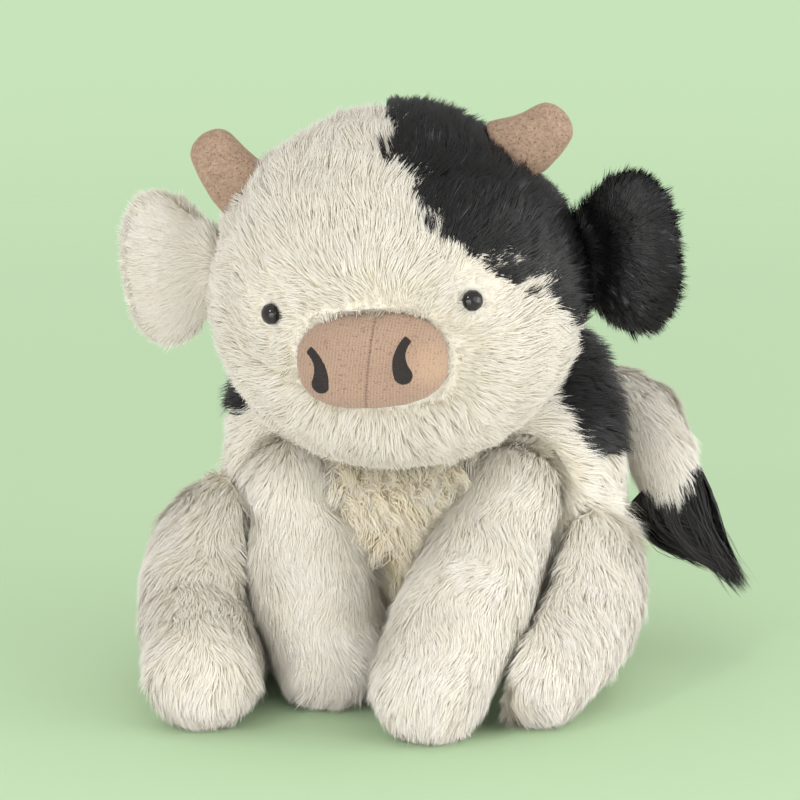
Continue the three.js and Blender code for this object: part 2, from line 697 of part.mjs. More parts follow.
const matt = (color, roughness) => new THREE.MeshStandardMaterial({ color, roughness, metalness: 0 });
const whitePlush = matt(0xe8e2d0, 0.95);
const blackPlush = matt(0x141415, 0.85);
const tanSuede = matt(0xc69e80, 0.9);
const blackThread = matt(0x101012, 0.6);
const eyePlastic = matt(0x0c0908, 0.12);
const washerPlastic = matt(0xf2f2ee, 0.45);
const fibreFill = matt(0xf4f4f2, 1);
const sackCloth = matt(0xd8d2c4, 0.9);

// Assembly

const group = new THREE.Group();
group.add(piece('trunk_cover', trunkCover, whitePlush));
group.add(piece('saddle_patch', saddlePatch, blackPlush));
group.add(piece('trunk_stuffing', trunkStuffing, fibreFill));
group.add(piece('pellet_sack', pelletSack, sackCloth));
for (const side of ['left', 'right']) {
  const [front, hind] = [frontLimbs[side], hindLimbs[side]];
  group.add(piece(`front_leg_${side}_cover`, cut(front.cover, underFloor), whitePlush));
  group.add(piece(`front_leg_${side}_stuffing`, front.stuffing, fibreFill));
  group.add(piece(`hind_leg_${side}_cover`, cut(hind.cover, underFloor), whitePlush));
  group.add(piece(`hind_leg_${side}_stuffing`, hind.stuffing, fibreFill));
}
group.add(piece('tail_cover', tailLimb.cover, whitePlush));
group.add(piece('tail_stuffing', tailLimb.stuffing, fibreFill));
group.add(piece('tail_tuft', tuftSolid, blackPlush));

headGroup.add(piece('head_cover', headCover, whitePlush));
headGroup.add(piece('head_patch', headPatch, blackPlush));
headGroup.add(piece('head_stuffing', headStuffing, fibreFill));
headGroup.add(piece('muzzle', muzzlePanel, tanSuede));
for (const side of ['left', 'right']) {
  const seat = eyeSeats[side];
  headGroup.add(piece(`nostril_${side}`, nostrilSolid(side), blackThread));
  headGroup.add(piece(`eye_${side}`, onSeat(eyeGeometry(), seat, 0), eyePlastic));
  const back = washerFront - washer.thick - washer.hubThick;
  headGroup.add(piece(`eye_washer_${side}`, onSeat(washerGeometry(), seat, back), washerPlastic));
  headGroup.add(piece(`horn_${side}`, hornSolid(side), tanSuede));
  headGroup.add(piece(`ear_${side}`, earSolid(side), side === 'left' ? blackPlush : whitePlush));
}
group.add(headGroup);

export default group;
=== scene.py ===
import math

import bmesh
import bpy
import numpy as np
from mathutils import Matrix, Vector
from mathutils.bvhtree import BVHTree
from mathutils.kdtree import KDTree


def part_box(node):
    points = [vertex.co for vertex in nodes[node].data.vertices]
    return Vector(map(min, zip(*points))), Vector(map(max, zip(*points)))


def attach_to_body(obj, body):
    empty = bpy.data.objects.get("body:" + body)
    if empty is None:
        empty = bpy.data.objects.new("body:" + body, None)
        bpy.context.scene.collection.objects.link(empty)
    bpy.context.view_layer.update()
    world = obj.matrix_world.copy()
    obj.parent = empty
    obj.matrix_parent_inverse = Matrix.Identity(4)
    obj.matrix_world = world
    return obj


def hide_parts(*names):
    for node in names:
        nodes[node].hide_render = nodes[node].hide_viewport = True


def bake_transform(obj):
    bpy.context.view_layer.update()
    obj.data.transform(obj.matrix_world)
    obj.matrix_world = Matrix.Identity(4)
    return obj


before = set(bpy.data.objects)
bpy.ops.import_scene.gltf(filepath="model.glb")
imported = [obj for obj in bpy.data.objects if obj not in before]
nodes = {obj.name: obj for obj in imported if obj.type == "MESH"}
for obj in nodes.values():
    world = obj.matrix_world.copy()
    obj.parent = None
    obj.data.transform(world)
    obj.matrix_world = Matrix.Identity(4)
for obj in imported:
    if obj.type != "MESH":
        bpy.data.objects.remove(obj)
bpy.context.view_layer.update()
mm = 0.001
sides = ("left", "right")
soleGap = 0.9 * mm  # from the floor to the cloth of what stands on it
pileGap = 0.25 * mm  # and to the lowest strand


class Value:
    # a socket that plain Python maths can be done on
    def __init__(self, tree, socket):
        self.tree = tree
        self.socket = socket

    def maths(self, operation, other, swapped=False):
        pair = [other, self] if swapped else [self, other]
        return self.tree.add("ShaderNodeMath", {"operation": operation}, dict(enumerate(pair)))

    def __add__(self, other):
        return self.maths("ADD", other)

    def __radd__(self, other):
        return self.maths("ADD", other)

    def __sub__(self, other):
        return self.maths("SUBTRACT", other)

    def __rsub__(self, other):
        return self.maths("SUBTRACT", other, swapped=True)

    def __mul__(self, other):
        return self.maths("MULTIPLY", other)

    def __rmul__(self, other):
        return self.maths("MULTIPLY", other)

    def __truediv__(self, other):
        return self.maths("DIVIDE", other)

    def __pow__(self, other):
        return self.maths("POWER", other)


class Finish:
    # one material's node tree
    def __init__(self, name, roughness, **shader):
        self.material = bpy.data.materials.new(name)
        self.material.use_nodes = True
        self.tree = self.material.node_tree
        self.shader = self.tree.nodes["Principled BSDF"]
        self.shader.inputs["Roughness"].default_value = roughness
        for key, value in shader.items():
            self.shader.inputs[key.replace("_", " ")].default_value = value

    def add(self, kind, settings=None, inputs=None, output=0):
        node = self.tree.nodes.new(kind)
        for key, value in (settings or {}).items():
            if key == "stops":
                ramp = node.color_ramp
                while len(ramp.elements) < len(value):
                    ramp.elements.new(0.5)
                for element, (place, colour) in zip(ramp.elements, value):
                    element.position = place
                    element.color = (*colour, 1)
            else:
                setattr(node, key, value)
        for key, value in (inputs or {}).items():
            if isinstance(value, Value):
                self.tree.links.new(value.socket, node.inputs[key])
            else:
                node.inputs[key].default_value = value
        return Value(self, node.outputs[output])

    def mix(self, factor, low, high, blend="MIX"):
        settings = {"data_type": "RGBA", "blend_type": blend}
        paint = lambda c: c if isinstance(c, Value) else (*c, 1)
        return self.add("ShaderNodeMix", settings, {0: factor, 6: paint(low), 7: paint(high)}, output=2)

    def sine(self, value):
        return self.add("ShaderNodeMath", {"operation": "SINE"}, {0: value})

    def length(self, first, second):
        return (first * first + second * second) ** 0.5

    def step(self, value, start, end):
        # 0 at start and 1 at end, smoothly
        settings = {"interpolation_type": "SMOOTHSTEP"}
        return self.add("ShaderNodeMapRange", settings, {"Value": value, "From Min": start, "From Max": end})

    def ramp(self, stops, share):
        return self.add("ShaderNodeValToRGB", {"stops": [(p, tint(c)) for p, c in stops]}, {0: share})

    def noise(self, scale, detail=2.0, roughness=0.5, vector=None):
        place = vector or self.add("ShaderNodeTexCoord", output=3)
        inputs = {"Vector": place, "Scale": scale, "Detail": detail, "Roughness": roughness}
        return self.add("ShaderNodeTexNoise", {}, inputs)

    def colour(self, value):
        self.tree.links.new(value.socket, self.shader.inputs["Base Color"])

    def bump(self, height, strength, distance):
        bump = self.add("ShaderNodeBump", {}, {"Strength": strength, "Distance": distance, "Height": height})
        self.tree.links.new(bump.socket, self.shader.inputs["Normal"])


def tint(code):
    # a screen colour such as "e8e2d0" in the renderer's own values
    shares = [int(code[i:i + 2], 16) / 255 for i in (0, 2, 4)]
    return tuple(s / 12.92 if s < 0.04045 else ((s + 0.055) / 1.055) ** 2.4 for s in shares)


def furFinish(name, values):
    # each strand's tone runs along U of its own map, and root to tip along V, where the depth stops paint
    # shade darker towards the root
    finish = Finish(name, values["roughness"], Sheen_Weight=values["sheen"], Sheen_Roughness=0.45,
                    Specular_IOR_Level=values["gloss"])
    finish.shader.inputs["Sheen Tint"].default_value = (*tint(values["sheenTint"]), 1)
    place = finish.add("ShaderNodeUVMap", {"uv_map": "OFBake"})
    tone = finish.add("ShaderNodeSeparateXYZ", {}, {0: place}, output=0)
    along = finish.add("ShaderNodeSeparateXYZ", {}, {0: place}, output=1)
    strand = finish.ramp(values["tones"], tone)
    # painted shade: the depth stops darken each strand towards its root, where strands lie under others
    depth = finish.ramp(values["depth"], along)
    finish.colour(finish.mix(1.0, strand, depth, blend="MULTIPLY"))
    return finish.material


def backingFinish(name, values):
    # the woven backing and short underfur between the strands
    finish = Finish(name, 0.9, Sheen_Weight=0.3)
    coarse = finish.noise(60.0)
    fine = finish.noise(900.0, 4.0, 0.6)
    finish.colour(finish.mix(coarse * 0.6 + fine * 0.4, tint(values["low"]), tint(values["high"])))
    finish.bump(fine, 0.6, 1.5 * mm)
    return finish.material


# in each fur the depth stops are painted shade, darker towards the root
whiteFur = {
    "roughness": 0.5, "sheen": 0.3, "gloss": 0.28, "sheenTint": "fffcf6",
    "tones": [(0.0, "f6f3e9"), (0.4, "f9f7ef"), (0.7, "fbf9f3"), (1.0, "fdfcf9")],
    "depth": [(0.0, "fbf4e0"), (0.3, "fefbf3"), (1.0, "ffffff")],
}
# a darker copy of the white fur for the head and the white ear: painted shade, so they render dimmer than
# the body's fur under the same lamps
shadedWhiteFur = {
    **whiteFur,
    "tones": [(0.0, "e8e4d8"), (0.4, "ebe8de"), (0.7, "eeece4"), (1.0, "f2f0ea")],
}
chestFur = {
    **whiteFur,
    "tones": [(0.0, "f6eed8"), (0.5, "faf4e4"), (1.0, "fdfaf0")],
    "depth": [(0.0, "f8ebc8"), (0.4, "fcf6e4"), (1.0, "ffffff")],
}
# the black fur; its two palest tones are painted glints, a painted highlight on a few strands
blackFurPaintedGlints = {
    "roughness": 0.36, "sheen": 0.05, "gloss": 0.44, "sheenTint": "9aa0a8",
    "tones": [(0.0, "060607"), (0.5, "0a0a0b"), (0.72, "131314"), (0.86, "26272a"), (1.0, "686a6f")],
    "depth": [(0.0, "707070"), (0.5, "d0d0d0"), (1.0, "ffffff")],
}
longHair = {
    "roughness": 0.38, "sheen": 0.05, "gloss": 0.6, "sheenTint": "9aa0a8",
    "tones": [(0.0, "0b0a0a"), (0.7, "1a1817"), (1.0, "342f2c")],
    "depth": [(0.0, "909090"), (1.0, "ffffff")],
}
whiteStrands = furFinish("white_fur", whiteFur)
shadedWhiteStrands = furFinish("head_fur", shadedWhiteFur)
chestStrands = furFinish("chest_fur", chestFur)
blackStrands = furFinish("black_fur", blackFurPaintedGlints)
hairStrands = furFinish("tail_hair", longHair)
whiteBacking = backingFinish("white_backing", {"low": "f8f2e0", "high": "fbf8ee"})
blackBacking = backingFinish("black_backing", {"low": "0b0b0c", "high": "18181a"})


def suedeFinish(name, low, high, speck):
    finish = Finish(name, 0.85, Sheen_Weight=0.35, Sheen_Roughness=0.5)
    finish.shader.inputs["Sheen Tint"].default_value = (*tint("f0d8c0"), 1)
    nap = finish.noise(520.0, 4.0, 0.7)
    cloud = finish.noise(45.0, 2.0)
    pits = finish.noise(900.0, 2.0, 0.6)
    base = finish.mix((nap - 0.5) * 2.2 + cloud * 0.6 + 0.2, tint(low), tint(high))
    dark = finish.step(pits, 0.56, 0.66)
    finish.colour(finish.mix(dark * 0.7, base, tint(speck)))
    finish.bump(nap + pits * 0.5, 0.5, 0.5 * mm)
    return finish.material


def meshObject(name, mesh, material):
    obj = bpy.data.objects.new(name, mesh)
    bpy.context.scene.collection.objects.link(obj)
    mesh.materials.clear()
    mesh.materials.append(material)
    return obj


def withModifiers(mesh, modifiers):
    # the mesh after these modifiers, as a mesh of its own
    obj = bpy.data.objects.new("shaping", mesh)
    bpy.context.scene.collection.objects.link(obj)
    for kind, settings in modifiers:
        modifier = obj.modifiers.new(kind.lower(), kind)
        for key, value in settings.items():
            setattr(modifier, key, value)
    bpy.context.view_layer.update()
    shaped = bpy.data.meshes.new_from_object(obj.evaluated_get(bpy.context.evaluated_depsgraph_get()))
    bpy.data.objects.remove(obj)
    return shaped


def outerForm(name, members, values):
    # the outside of a stuffed piece: its sewn solids closed over, smoothed and drawn in below the pile
    bm = bmesh.new()
    for member in members:
        bm.from_mesh(nodes[member].data)
    bmesh.ops.remove_doubles(bm, verts=bm.verts, dist=0.001 * mm)
    mesh = bpy.data.meshes.new(name)
    bm.to_mesh(mesh)
    bm.free()
    mesh = withModifiers(mesh, [("REMESH", {"mode": "VOXEL", "voxel_size": values["voxel"] * mm})])
    bm = bmesh.new()
    bm.from_mesh(mesh)
    keepLargest(bm)
    bmesh.ops.recalc_face_normals(bm, faces=bm.faces)
    for turn in range(values["smooth"]):
        bmesh.ops.smooth_vert(bm, verts=bm.verts, factor=0.5,
                              use_axis_x=True, use_axis_y=True, use_axis_z=True)
    bm.normal_update()
    drawn = [(v, v.co - v.normal * values["inset"] * mm) for v in bm.verts]
    for vert, place in drawn:
        vert.co = place
    if "crease" in values:
        place, way, depth, wide = values["crease"]
        for vert in bm.verts:
            along = (vert.co - Vector(place) * mm).dot(Vector(way).normalized()) / (wide * mm)
            vert.co -= vert.normal * depth * mm * math.exp(-along * along)
    if "draw" in values:
        for vert in bm.verts:
            vert.co = vert.co.lerp(Vector(values["draw"]) * mm, values["drawShare"])
    base = min(v.co.z for v in bm.verts)
    stands = values.get("stands", 0) * mm
    if stands:
        for vert in bm.verts:
            share = max(0.0, 1 - (vert.co.z - base) / stands)
            vert.co.z -= (base - soleGap) * share * share
    for face in bm.faces:
        face.smooth = True
    bm.to_mesh(mesh)
    bm.free()
    return mesh


def keepLargest(bm):
    # drops the inner walls that closing over leaves behind
    left = set(bm.verts)
    best = []
    while left:
        stack = [left.pop()]
        island = [stack[0]]
        while stack:
            for edge in stack.pop().link_edges:
                for vert in edge.verts:
                    if vert in left:
                        left.remove(vert)
                        island.append(vert)
                        stack.append(vert)
        if len(island) > len(best):
            best = island
    kept = set(best)
    bmesh.ops.delete(bm, geom=[v for v in bm.verts if v not in kept], context="VERTS")


def surfaceOf(*members):
    # a tree for asking how near a point is to these CAD solids
    bm = bmesh.new()
    for member in members:
        bm.from_mesh(nodes[member].data)
    tree = BVHTree.FromBMesh(bm)
    bm.free()
    return tree


def unit(vectors):
    return vectors / np.maximum(np.linalg.norm(vectors, axis=-1, keepdims=True), 1e-12)


def flat(vectors, normals):
    # what lies along the surface
    return vectors - normals * np.sum(vectors * normals, axis=1, keepdims=True)


def ripple(points, size, seed):
    # a smooth random field of about this wavelength, between -1 and 1
    rng = np.random.RandomState(seed)
    total = np.zeros(len(points))
    for turn in range(5):
        way = unit(rng.normal(size=3)) * (2 * math.pi / (size * mm)) * rng.uniform(0.6, 1.5)
        total += np.sin(points @ way + rng.uniform(0, 2 * math.pi))
    return total / 3


def scatter(mesh, count, rng):
    # roots spread evenly over a skin, with the smooth normal there
    mesh.calc_loop_triangles()
    corners = np.zeros(len(mesh.loop_triangles) * 3, np.int32)
    mesh.loop_triangles.foreach_get("vertices", corners)
    corners = corners.reshape(-1, 3)
    places = np.zeros(len(mesh.vertices) * 3)
    mesh.vertices.foreach_get("co", places)
    places = places.reshape(-1, 3)
    normals = np.zeros(len(mesh.vertices) * 3)
    mesh.vertex_normals.foreach_get("vector", normals)
    normals = normals.reshape(-1, 3)
    a, b, c = (places[corners[:, i]] for i in range(3))
    areas = np.linalg.norm(np.cross(b - a, c - a), axis=1)
    picked = rng.choice(len(areas), count, p=areas / areas.sum())
    u, v = rng.rand(2, count)
    over = u + v > 1
    u[over], v[over] = 1 - u[over], 1 - v[over]
    shares = np.stack([1 - u - v, u, v], axis=1)
    points = np.einsum("ij,ijk->ik", shares, places[corners[picked]])
    facing = unit(np.einsum("ij,ijk->ik", shares, normals[corners[picked]]))
    return points, facing


def strandPaths(points, normals, flow, lengths, rises, values, rows, rng):
    # each strand rises off the skin and lies down along the flow
    along = unit(flat(flow, normals))
    across = np.cross(normals, along)
    swirl = ripple(points, values["swirlSize"], values["seed"] + 7) * math.radians(values["swirl"])
    swirl = swirl + rng.normal(size=len(points)) * math.radians(values["stray"])
    heading = along * np.cos(swirl)[:, None] + across * np.sin(swirl)[:, None]
    path = [points]
    low, high = values["leans"]
    step = lengths / (rows - 1)
    for row in range(1, rows):
        share = (row - 0.5) / (rows - 1)
        lean = np.radians(low + (high - low) * share ** 0.7) * rises
        lean = lean + rng.normal(size=len(points)) * math.radians(values["rise"])
        way = normals * np.cos(lean)[:, None] + heading * np.sin(lean)[:, None]
        path.append(path[-1] + way * step[:, None])
    return np.stack(path, axis=1)


def curled(path, values, rng):
    # a loose wave along each strand
    count, rows, _ = path.shape
    way = unit(path[:, -1] - path[:, 0])
    side = unit(np.cross(way, unit(rng.normal(size=(count, 3)))))
    other = np.cross(way, side)
    share = np.linspace(0, 1, rows)[None, :]
    phase = rng.uniform(0, 2 * math.pi, (count, 1)) + share * 2 * math.pi * values["turns"]
    reach = values["curl"] * mm * np.sqrt(share)
    path = path + side[:, None] * (np.sin(phase) * reach)[..., None]
    return path + other[:, None] * (np.cos(phase) * reach)[..., None]


def ribbons(name, path, normals, widths, tones, values, material, rng):
    # flat tapering strands, each a few faces, with the skin's light on them
    count, rows, _ = path.shape
    ways = np.gradient(path, axis=1)
    ways = unit(ways)
    twist = np.radians(rng.uniform(-values["twist"], values["twist"], count))
    side = unit(np.cross(ways, normals[:, None] + 1e-9))
    other = np.cross(side, ways)
    side = side * np.cos(twist)[:, None, None] + other * np.sin(twist)[:, None, None]
    share = np.linspace(0, 1, rows)
    profile = np.interp(share, [0, 0.35, 0.75, 1], [0.8, 1.0, 0.75, 0.0])
    half = side * (widths[:, None] * profile[None, :] * 0.5)[..., None]
    lefts = path - half
    rights = path + half
    body = np.stack([lefts[:, :-1], rights[:, :-1]], axis=2).reshape(count, -1, 3)
    verts = np.concatenate([body, path[:, -1:]], axis=1)
    verts[..., 2] = np.maximum(verts[..., 2], pileGap)
    each = verts.shape[1]
    quads = [(2 * r, 2 * r + 1, 2 * r + 3, 2 * r + 2) for r in range(rows - 2)]
    tip = (2 * rows - 4, 2 * rows - 3, 2 * rows - 2)
    one = np.array([i for q in quads for i in q] + list(tip))
    loops = (one[None, :] + (np.arange(count) * each)[:, None]).ravel()
    sizes = np.array([4] * len(quads) + [3])
    totals = np.tile(sizes, count)
    starts = np.concatenate([[0], np.cumsum(totals)[:-1]])
    mesh = bpy.data.meshes.new(name)
    mesh.vertices.add(count * each)
    mesh.vertices.foreach_set("co", verts.astype(np.float32).ravel())
    mesh.loops.add(len(loops))
    mesh.loops.foreach_set("vertex_index", loops.astype(np.int32))
    mesh.polygons.add(len(totals))
    mesh.polygons.foreach_set("loop_start", starts.astype(np.int32))
    mesh.update(calc_edges=True)
    rowOf = np.array([r for r in range(rows - 1) for s in range(2)] + [rows - 1])
    sideOf = np.array([s for r in range(rows - 1) for s in (-1, 1)] + [0])
    tone = tones[:, None] + sideOf[None, :] * 0.002
    rootToTip = np.broadcast_to(0.01 + 0.98 * share[rowOf], tone.shape)
    uv = np.stack([np.clip(tone, 0.004, 0.996), rootToTip], axis=2)
    layer = mesh.uv_layers.new(name="OFBake")
    layer.data.foreach_set("uv", uv.reshape(-1, 2)[loops].astype(np.float32).ravel())
    lit = np.cross(ways, side)
    lit *= np.sign(np.sum(lit * normals[:, None], axis=2, keepdims=True) + 1e-9)
    soft = normals[:, None] * values["soft"] + lit * (1 - values["soft"])
    shade = soft[:, rowOf] + side[:, rowOf] * (sideOf[None, :, None] * (1 - values["soft"]))
    mesh.polygons.foreach_set("use_smooth", np.ones(len(totals), bool))
    mesh.normals_split_custom_set_from_vertices(unit(shade).reshape(-1, 3))
    return meshObject(name, mesh, material)


def grow(name, body, values, flowAt, keepAt, material, slot):
    # one coat of fur: roots on the skin, locks that gather, and the strands themselves
    rng = np.random.RandomState(values["seed"])
    count = int(values["count"] * (1))
    points, normals = scatter(skins[body], int(count * values["spare"]), rng)
    kept = rng.rand(len(points)) < keepAt(points, normals)
    points, normals = points[kept][:count], normals[kept][:count]
    rows = values["rows"]
    lockCount = max(20, int(len(points) / values["lockOf"]))
    locks = rng.choice(len(points), lockCount, replace=False)
    tree = KDTree(lockCount)
    for i, place in enumerate(points[locks]):
        tree.insert(place, i)
    tree.balance()
    lockOf = np.array([tree.find(p)[1] for p in points])
    lockTone = rng.normal(size=lockCount)
    lockLength = 1 + rng.normal(size=lockCount) * values["uneven"]
    patch = ripple(points, values["patchSize"], values["seed"] + 3)
    reach = values["length"] * mm * values.get("lengthAt", lambda p, n: 1.0)(points, normals)
    lengths = reach * lockLength[lockOf] * (1 + rng.normal(size=len(points)) * 0.12)
    lengths = np.clip(lengths, 0.25 * values["length"] * mm, 1.6 * values["length"] * mm)
    rises = values.get("leanAt", lambda p: np.ones(len(p)))(points)
    path = strandPaths(points, normals, flowAt(points, normals), lengths, rises, values, rows, rng)
    guide = path[locks][lockOf]
    share = np.linspace(0, 1, rows)
    pull = values["gather"] * share ** 1.4
    path = path + (guide - path) * pull[None, :, None]
    if values.get("curl"):
        path = curled(path, values, rng)
    widths = values["width"] * mm * (1 + rng.normal(size=len(points)) * 0.2).clip(0.5, 1.6)
    tones = 0.5 + 0.14 * patch + 0.12 * lockTone[lockOf] + 0.1 * rng.normal(size=len(points))
    obj = ribbons(name, path, normals, widths, tones.clip(0, 1), values, material, rng)
    attach(obj, body)
    print(name, len(points), "strands")
    return obj


def inside(tree, point):
    # true where a ray straight up leaves the closed skin an odd number of times
    crossings = 0
    start = Vector(point)
    while crossings < 12:
        place = tree.ray_cast(start, Vector((0.02, 0.03, 1)).normalized())[0]
        if place is None:
            break
        crossings += 1
        start = place + Vector((0, 0, 0.02 * mm))
    return crossings % 2 == 1


def outside(*trees, depth=1.5):
    # 1 where a root isn't buried in one of these neighbours, 0 where it is
    def test(points, normals):
        raised = points + normals * depth * mm
        return np.array([0.0 if any(inside(tree, p) for tree in trees) else 1.0 for p in raised])
    return test


skinValues = {
    "trunk": {"voxel": 3.0, "smooth": 6, "inset": 3.0, "stands": 18},
    "head": {"voxel": 3.0, "smooth": 6, "inset": 4.0},
    "leg": {"voxel": 2.2, "smooth": 14, "inset": 2.6, "stands": 12},
    "tail": {"voxel": 2.0, "smooth": 6, "inset": 3.0},
    "ear": {"voxel": 1.5, "smooth": 5, "inset": 3.0},
}
limbs = [f"{end}_leg_{side}" for end in ("front", "hind") for side in sides]
earRoots = {"left": (80, -81, 218), "right": (-82, -81, 207)}
skins = {
    "trunk": outerForm("trunk_skin", ["trunk_cover", "saddle_patch", "trunk_stuffing"], skinValues["trunk"]),
    "head": outerForm("head_skin", ["head_cover", "head_patch", "head_stuffing"], skinValues["head"]),
    "tail": outerForm("tail_skin", ["tail_cover", "tail_stuffing"], skinValues["tail"]),
}
for side in sides:
    earValues = {**skinValues["ear"], "draw": earRoots[side], "drawShare": 0.07}
    skins[f"ear_{side}"] = outerForm(f"ear_{side}_skin", [f"ear_{side}"], earValues)
footCrease = {"crease": ((-78, -106, 40), (-0.25, -0.9, -0.35), 1.6, 6)}
for limb in limbs:
    legValues = {**skinValues["leg"], **(footCrease if limb == "hind_leg_right" else {})}
    skins[limb] = outerForm(f"{limb}_skin", [f"{limb}_cover", f"{limb}_stuffing"], legValues)
print("skins", {name: len(mesh.polygons) for name, mesh in skins.items()})

stoodFor = {
    "trunk": ["trunk_cover", "saddle_patch", "trunk_stuffing", "pellet_sack"],
    "head": ["head_cover", "head_patch", "head_stuffing"],
    "tail": ["tail_cover", "tail_stuffing"],
    "ear_left": ["ear_left"],
    "ear_right": ["ear_right"],
    **{limb: [f"{limb}_cover", f"{limb}_stuffing"] for limb in limbs},
}
# where each limb's skin and fur cross its seam: the body, the seam's start and its end; attach only looks up
# which pieces are listed and leaves them in place without a parent
bends = {
    "front_leg_left": ("trunk", (58, -52, 116), (45, -92, 82)),
    "front_leg_right": ("trunk", (-58, -52, 116), (-47, -84, 82)),
    "hind_leg_left": ("trunk", (76, 26, 56), (75, -24, 48)),
    "hind_leg_right": ("trunk", (-76, 26, 56), (-78, -24, 50)),
    "tail": ("trunk", (0, 58, 87), (14, 88, 92)),
    "ear_left": ("head", (80, -81, 218), (94, -81, 220)),
    "ear_right": ("head", (-82, -81, 207), (-96, -81, 206)),
}


def attach(obj, body):
    if body in bends:
        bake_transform(obj)
    else:
        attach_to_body(obj, body)


def blackShare(white, black, fuzz, ragged, within, front=-1000):
    # how surely a root stands on the black panel, whose edge wanders a little
    whiteTree, blackTree = surfaceOf(white), surfaceOf(black)

    def test(points):
        gap = np.array([whiteTree.find_nearest(p)[3] - blackTree.find_nearest(p)[3] for p in points])
        gap = gap + (ripple(points, 16, 5) + ripple(points, 8, 6) * 0.4) * ragged * mm
        gap = np.minimum(gap, points[:, 1] - front * mm + ripple(points, 16, 8) * ragged * mm)
        return np.clip((gap - within * mm) / (fuzz * mm) + 0.5, 0, 1)
    return test


headBlack = blackShare("head_cover", "head_patch", 1.2, 1.0, 0)
trunkBlack = blackShare("trunk_cover", "saddle_patch", 1.5, 2.6, 6, -52)
blackParts = {"trunk": trunkBlack, "head": headBlack}


def paintPatch(obj, test):
    # the backing is black where the black fur grows
    obj.data.materials.append(blackBacking)
    middles = np.array([face.center for face in obj.data.polygons])
    for face, share in zip(obj.data.polygons, test(middles)):
        face.material_index = int(share > 0.5)


for name, mesh in skins.items():
    dark = name == "ear_left"
    obj = meshObject(f"{name}_skin", mesh, blackBacking if dark else whiteBacking)
    if name in blackParts:
        paintPatch(obj, blackParts[name])
    attach(obj, name)
    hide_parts(*stoodFor[name])

trees = {name: BVHTree.FromPolygons([v.co for v in mesh.vertices], [p.vertices for p in mesh.polygons])
         for name, mesh in skins.items()}


roll = math.radians(6)
down = np.array([0.0, 0.0, -1.0])


def centreOf(node):
    low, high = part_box(node)
    return (low + high) / 2


def awayFrom(point):
    # out from an ear's root
    return lambda points, normals: unit(points - np.array(point))


muzzleMiddle = np.array(centreOf("muzzle"))
headMiddle = np.array(centreOf("head_cover"))


def headFlow(points, normals):
    # away from the muzzle over the face, then down the back of the head
    radial = unit(points - (muzzleMiddle + np.array([0, 10, 0]) * mm))
    radial = radial * np.clip((muzzleReach(points)[:, None] - faceValues["rim"]) / 0.03, -1, 1)
    back = np.clip((points[:, 1] - headMiddle[1]) / (50 * mm), 0, 1)[:, None]
    return radial * (1 - back) + (down + np.array([0, 0.3, 0])) * back


def trunkFlow(points, normals):
    # down all round, and back over the black panel's front edge at the shoulders
    outward = points - np.array([0, -10 * mm, 90 * mm])
    outward[:, 2] = 0
    shoulder = (np.abs(points[:, 0]) > 42 * mm) & (points[:, 2] > 88 * mm) & (points[:, 1] < -20 * mm)
    back = np.where(shoulder[:, None], np.array([0, 1.3, 0]), unit(outward) * 0.3)
    return down + back


def limbFlow(root, paw, fall):
    # along the limb to the paw, and outwards over its end
    root, paw = np.array(root) * mm, np.array(paw) * mm
    axis = unit(paw - root)

    def flow(points, normals):
        end = np.clip(((points - paw) @ axis) / (25 * mm) + 0.5, 0, 1)[:, None]
        spread = unit(points - paw - axis * 5 * mm)
        return (axis + down * fall) * (1 - end) + (down + spread * 0.4) * end
    return flow


def pathFlow(stops, fall):
    # along the nearest stretch of a curved piece, and down
    stops = np.array(stops) * mm
    middles = (stops[1:] + stops[:-1]) / 2
    ways = unit(stops[1:] - stops[:-1])

    def flow(points, normals):
        distances = np.linalg.norm(points[:, None] - middles[None], axis=2)
        weights = 1 / (distances ** 4 + 1e-12)
        return (weights[..., None] * ways[None]).sum(axis=1) / weights.sum(axis=1)[:, None] + down * fall
    return flow


def liftNear(neighbours, reach, least):
    # fur stands up where another stuffed piece lies close, and fills the crease
    def lean(points):
        gap = np.array([min(tree.find_nearest(p)[3] for tree in neighbours) for p in points])
        return least + (1 - least) * np.clip(gap / (reach * mm), 0, 1)
    return lean


def longerNear(neighbours, reach, more):
    # and grows longer there, so that it hangs over the seam
    def length(points, normals):
        gap = np.array([min(tree.find_nearest(p)[3] for tree in neighbours) for p in points])
        return 1 + more * (1 - np.clip(gap / (reach * mm), 0, 1))
    return length


eyes = {side: np.array(centreOf(f"eye_{side}")) for side in sides}
horns = {side: surfaceOf(f"horn_{side}") for side in sides}

# beside an eye or a horn: where the change starts, how far it reaches, and the share at the start
faceValues = {
    "muzzleHalf": (35, 22), "muzzleSquareness": 2.6, "rim": 1.07, "bareEye": 6.8,
    "eyeLength": (7, 22, 0.17), "eyeLean": (7, 9, 0.45),
    "hornLength": (2, 16, 0.7), "hornLean": (3, 10, 0.5),
}


def fromEye(points, side):
    return np.linalg.norm(points - eyes[side], axis=1)


def fromHorn(points, side):
    return np.array([horns[side].find_nearest(p)[3] for p in points])


def growing(gap, start, reach, least):
    # from this least share beside a piece up to 1
    return least + (1 - least) * np.clip((gap - start * mm) / (reach * mm), 0, 1)


def muzzleReach(points):
    # below 1 inside the muzzle's outline, seen from the front
    x = points[:, 0] - muzzleMiddle[0]
    z = points[:, 2] - muzzleMiddle[2]
    across = x * math.cos(roll) - z * math.sin(roll)
    up = x * math.sin(roll) + z * math.cos(roll)
    front = np.where(points[:, 1] < headMiddle[1], 1, 10)
    halfWide, halfHigh = (half * mm for half in faceValues["muzzleHalf"])
    power = faceValues["muzzleSquareness"]
    return ((np.abs(across) / halfWide) ** power + (np.abs(up) / halfHigh) ** power) ** (1 / power) * front


def headBare(points):
    # no fur under the muzzle or on the eyes
    bare = muzzleReach(points) > 0.98
    for side in sides:
        bare &= fromEye(points, side) > faceValues["bareEye"] * mm
    return bare


def headKeep(black):
    def keep(points, normals):
        share = headBlack(points)
        return headBare(points) * (share if black else 1 - share)
    return keep


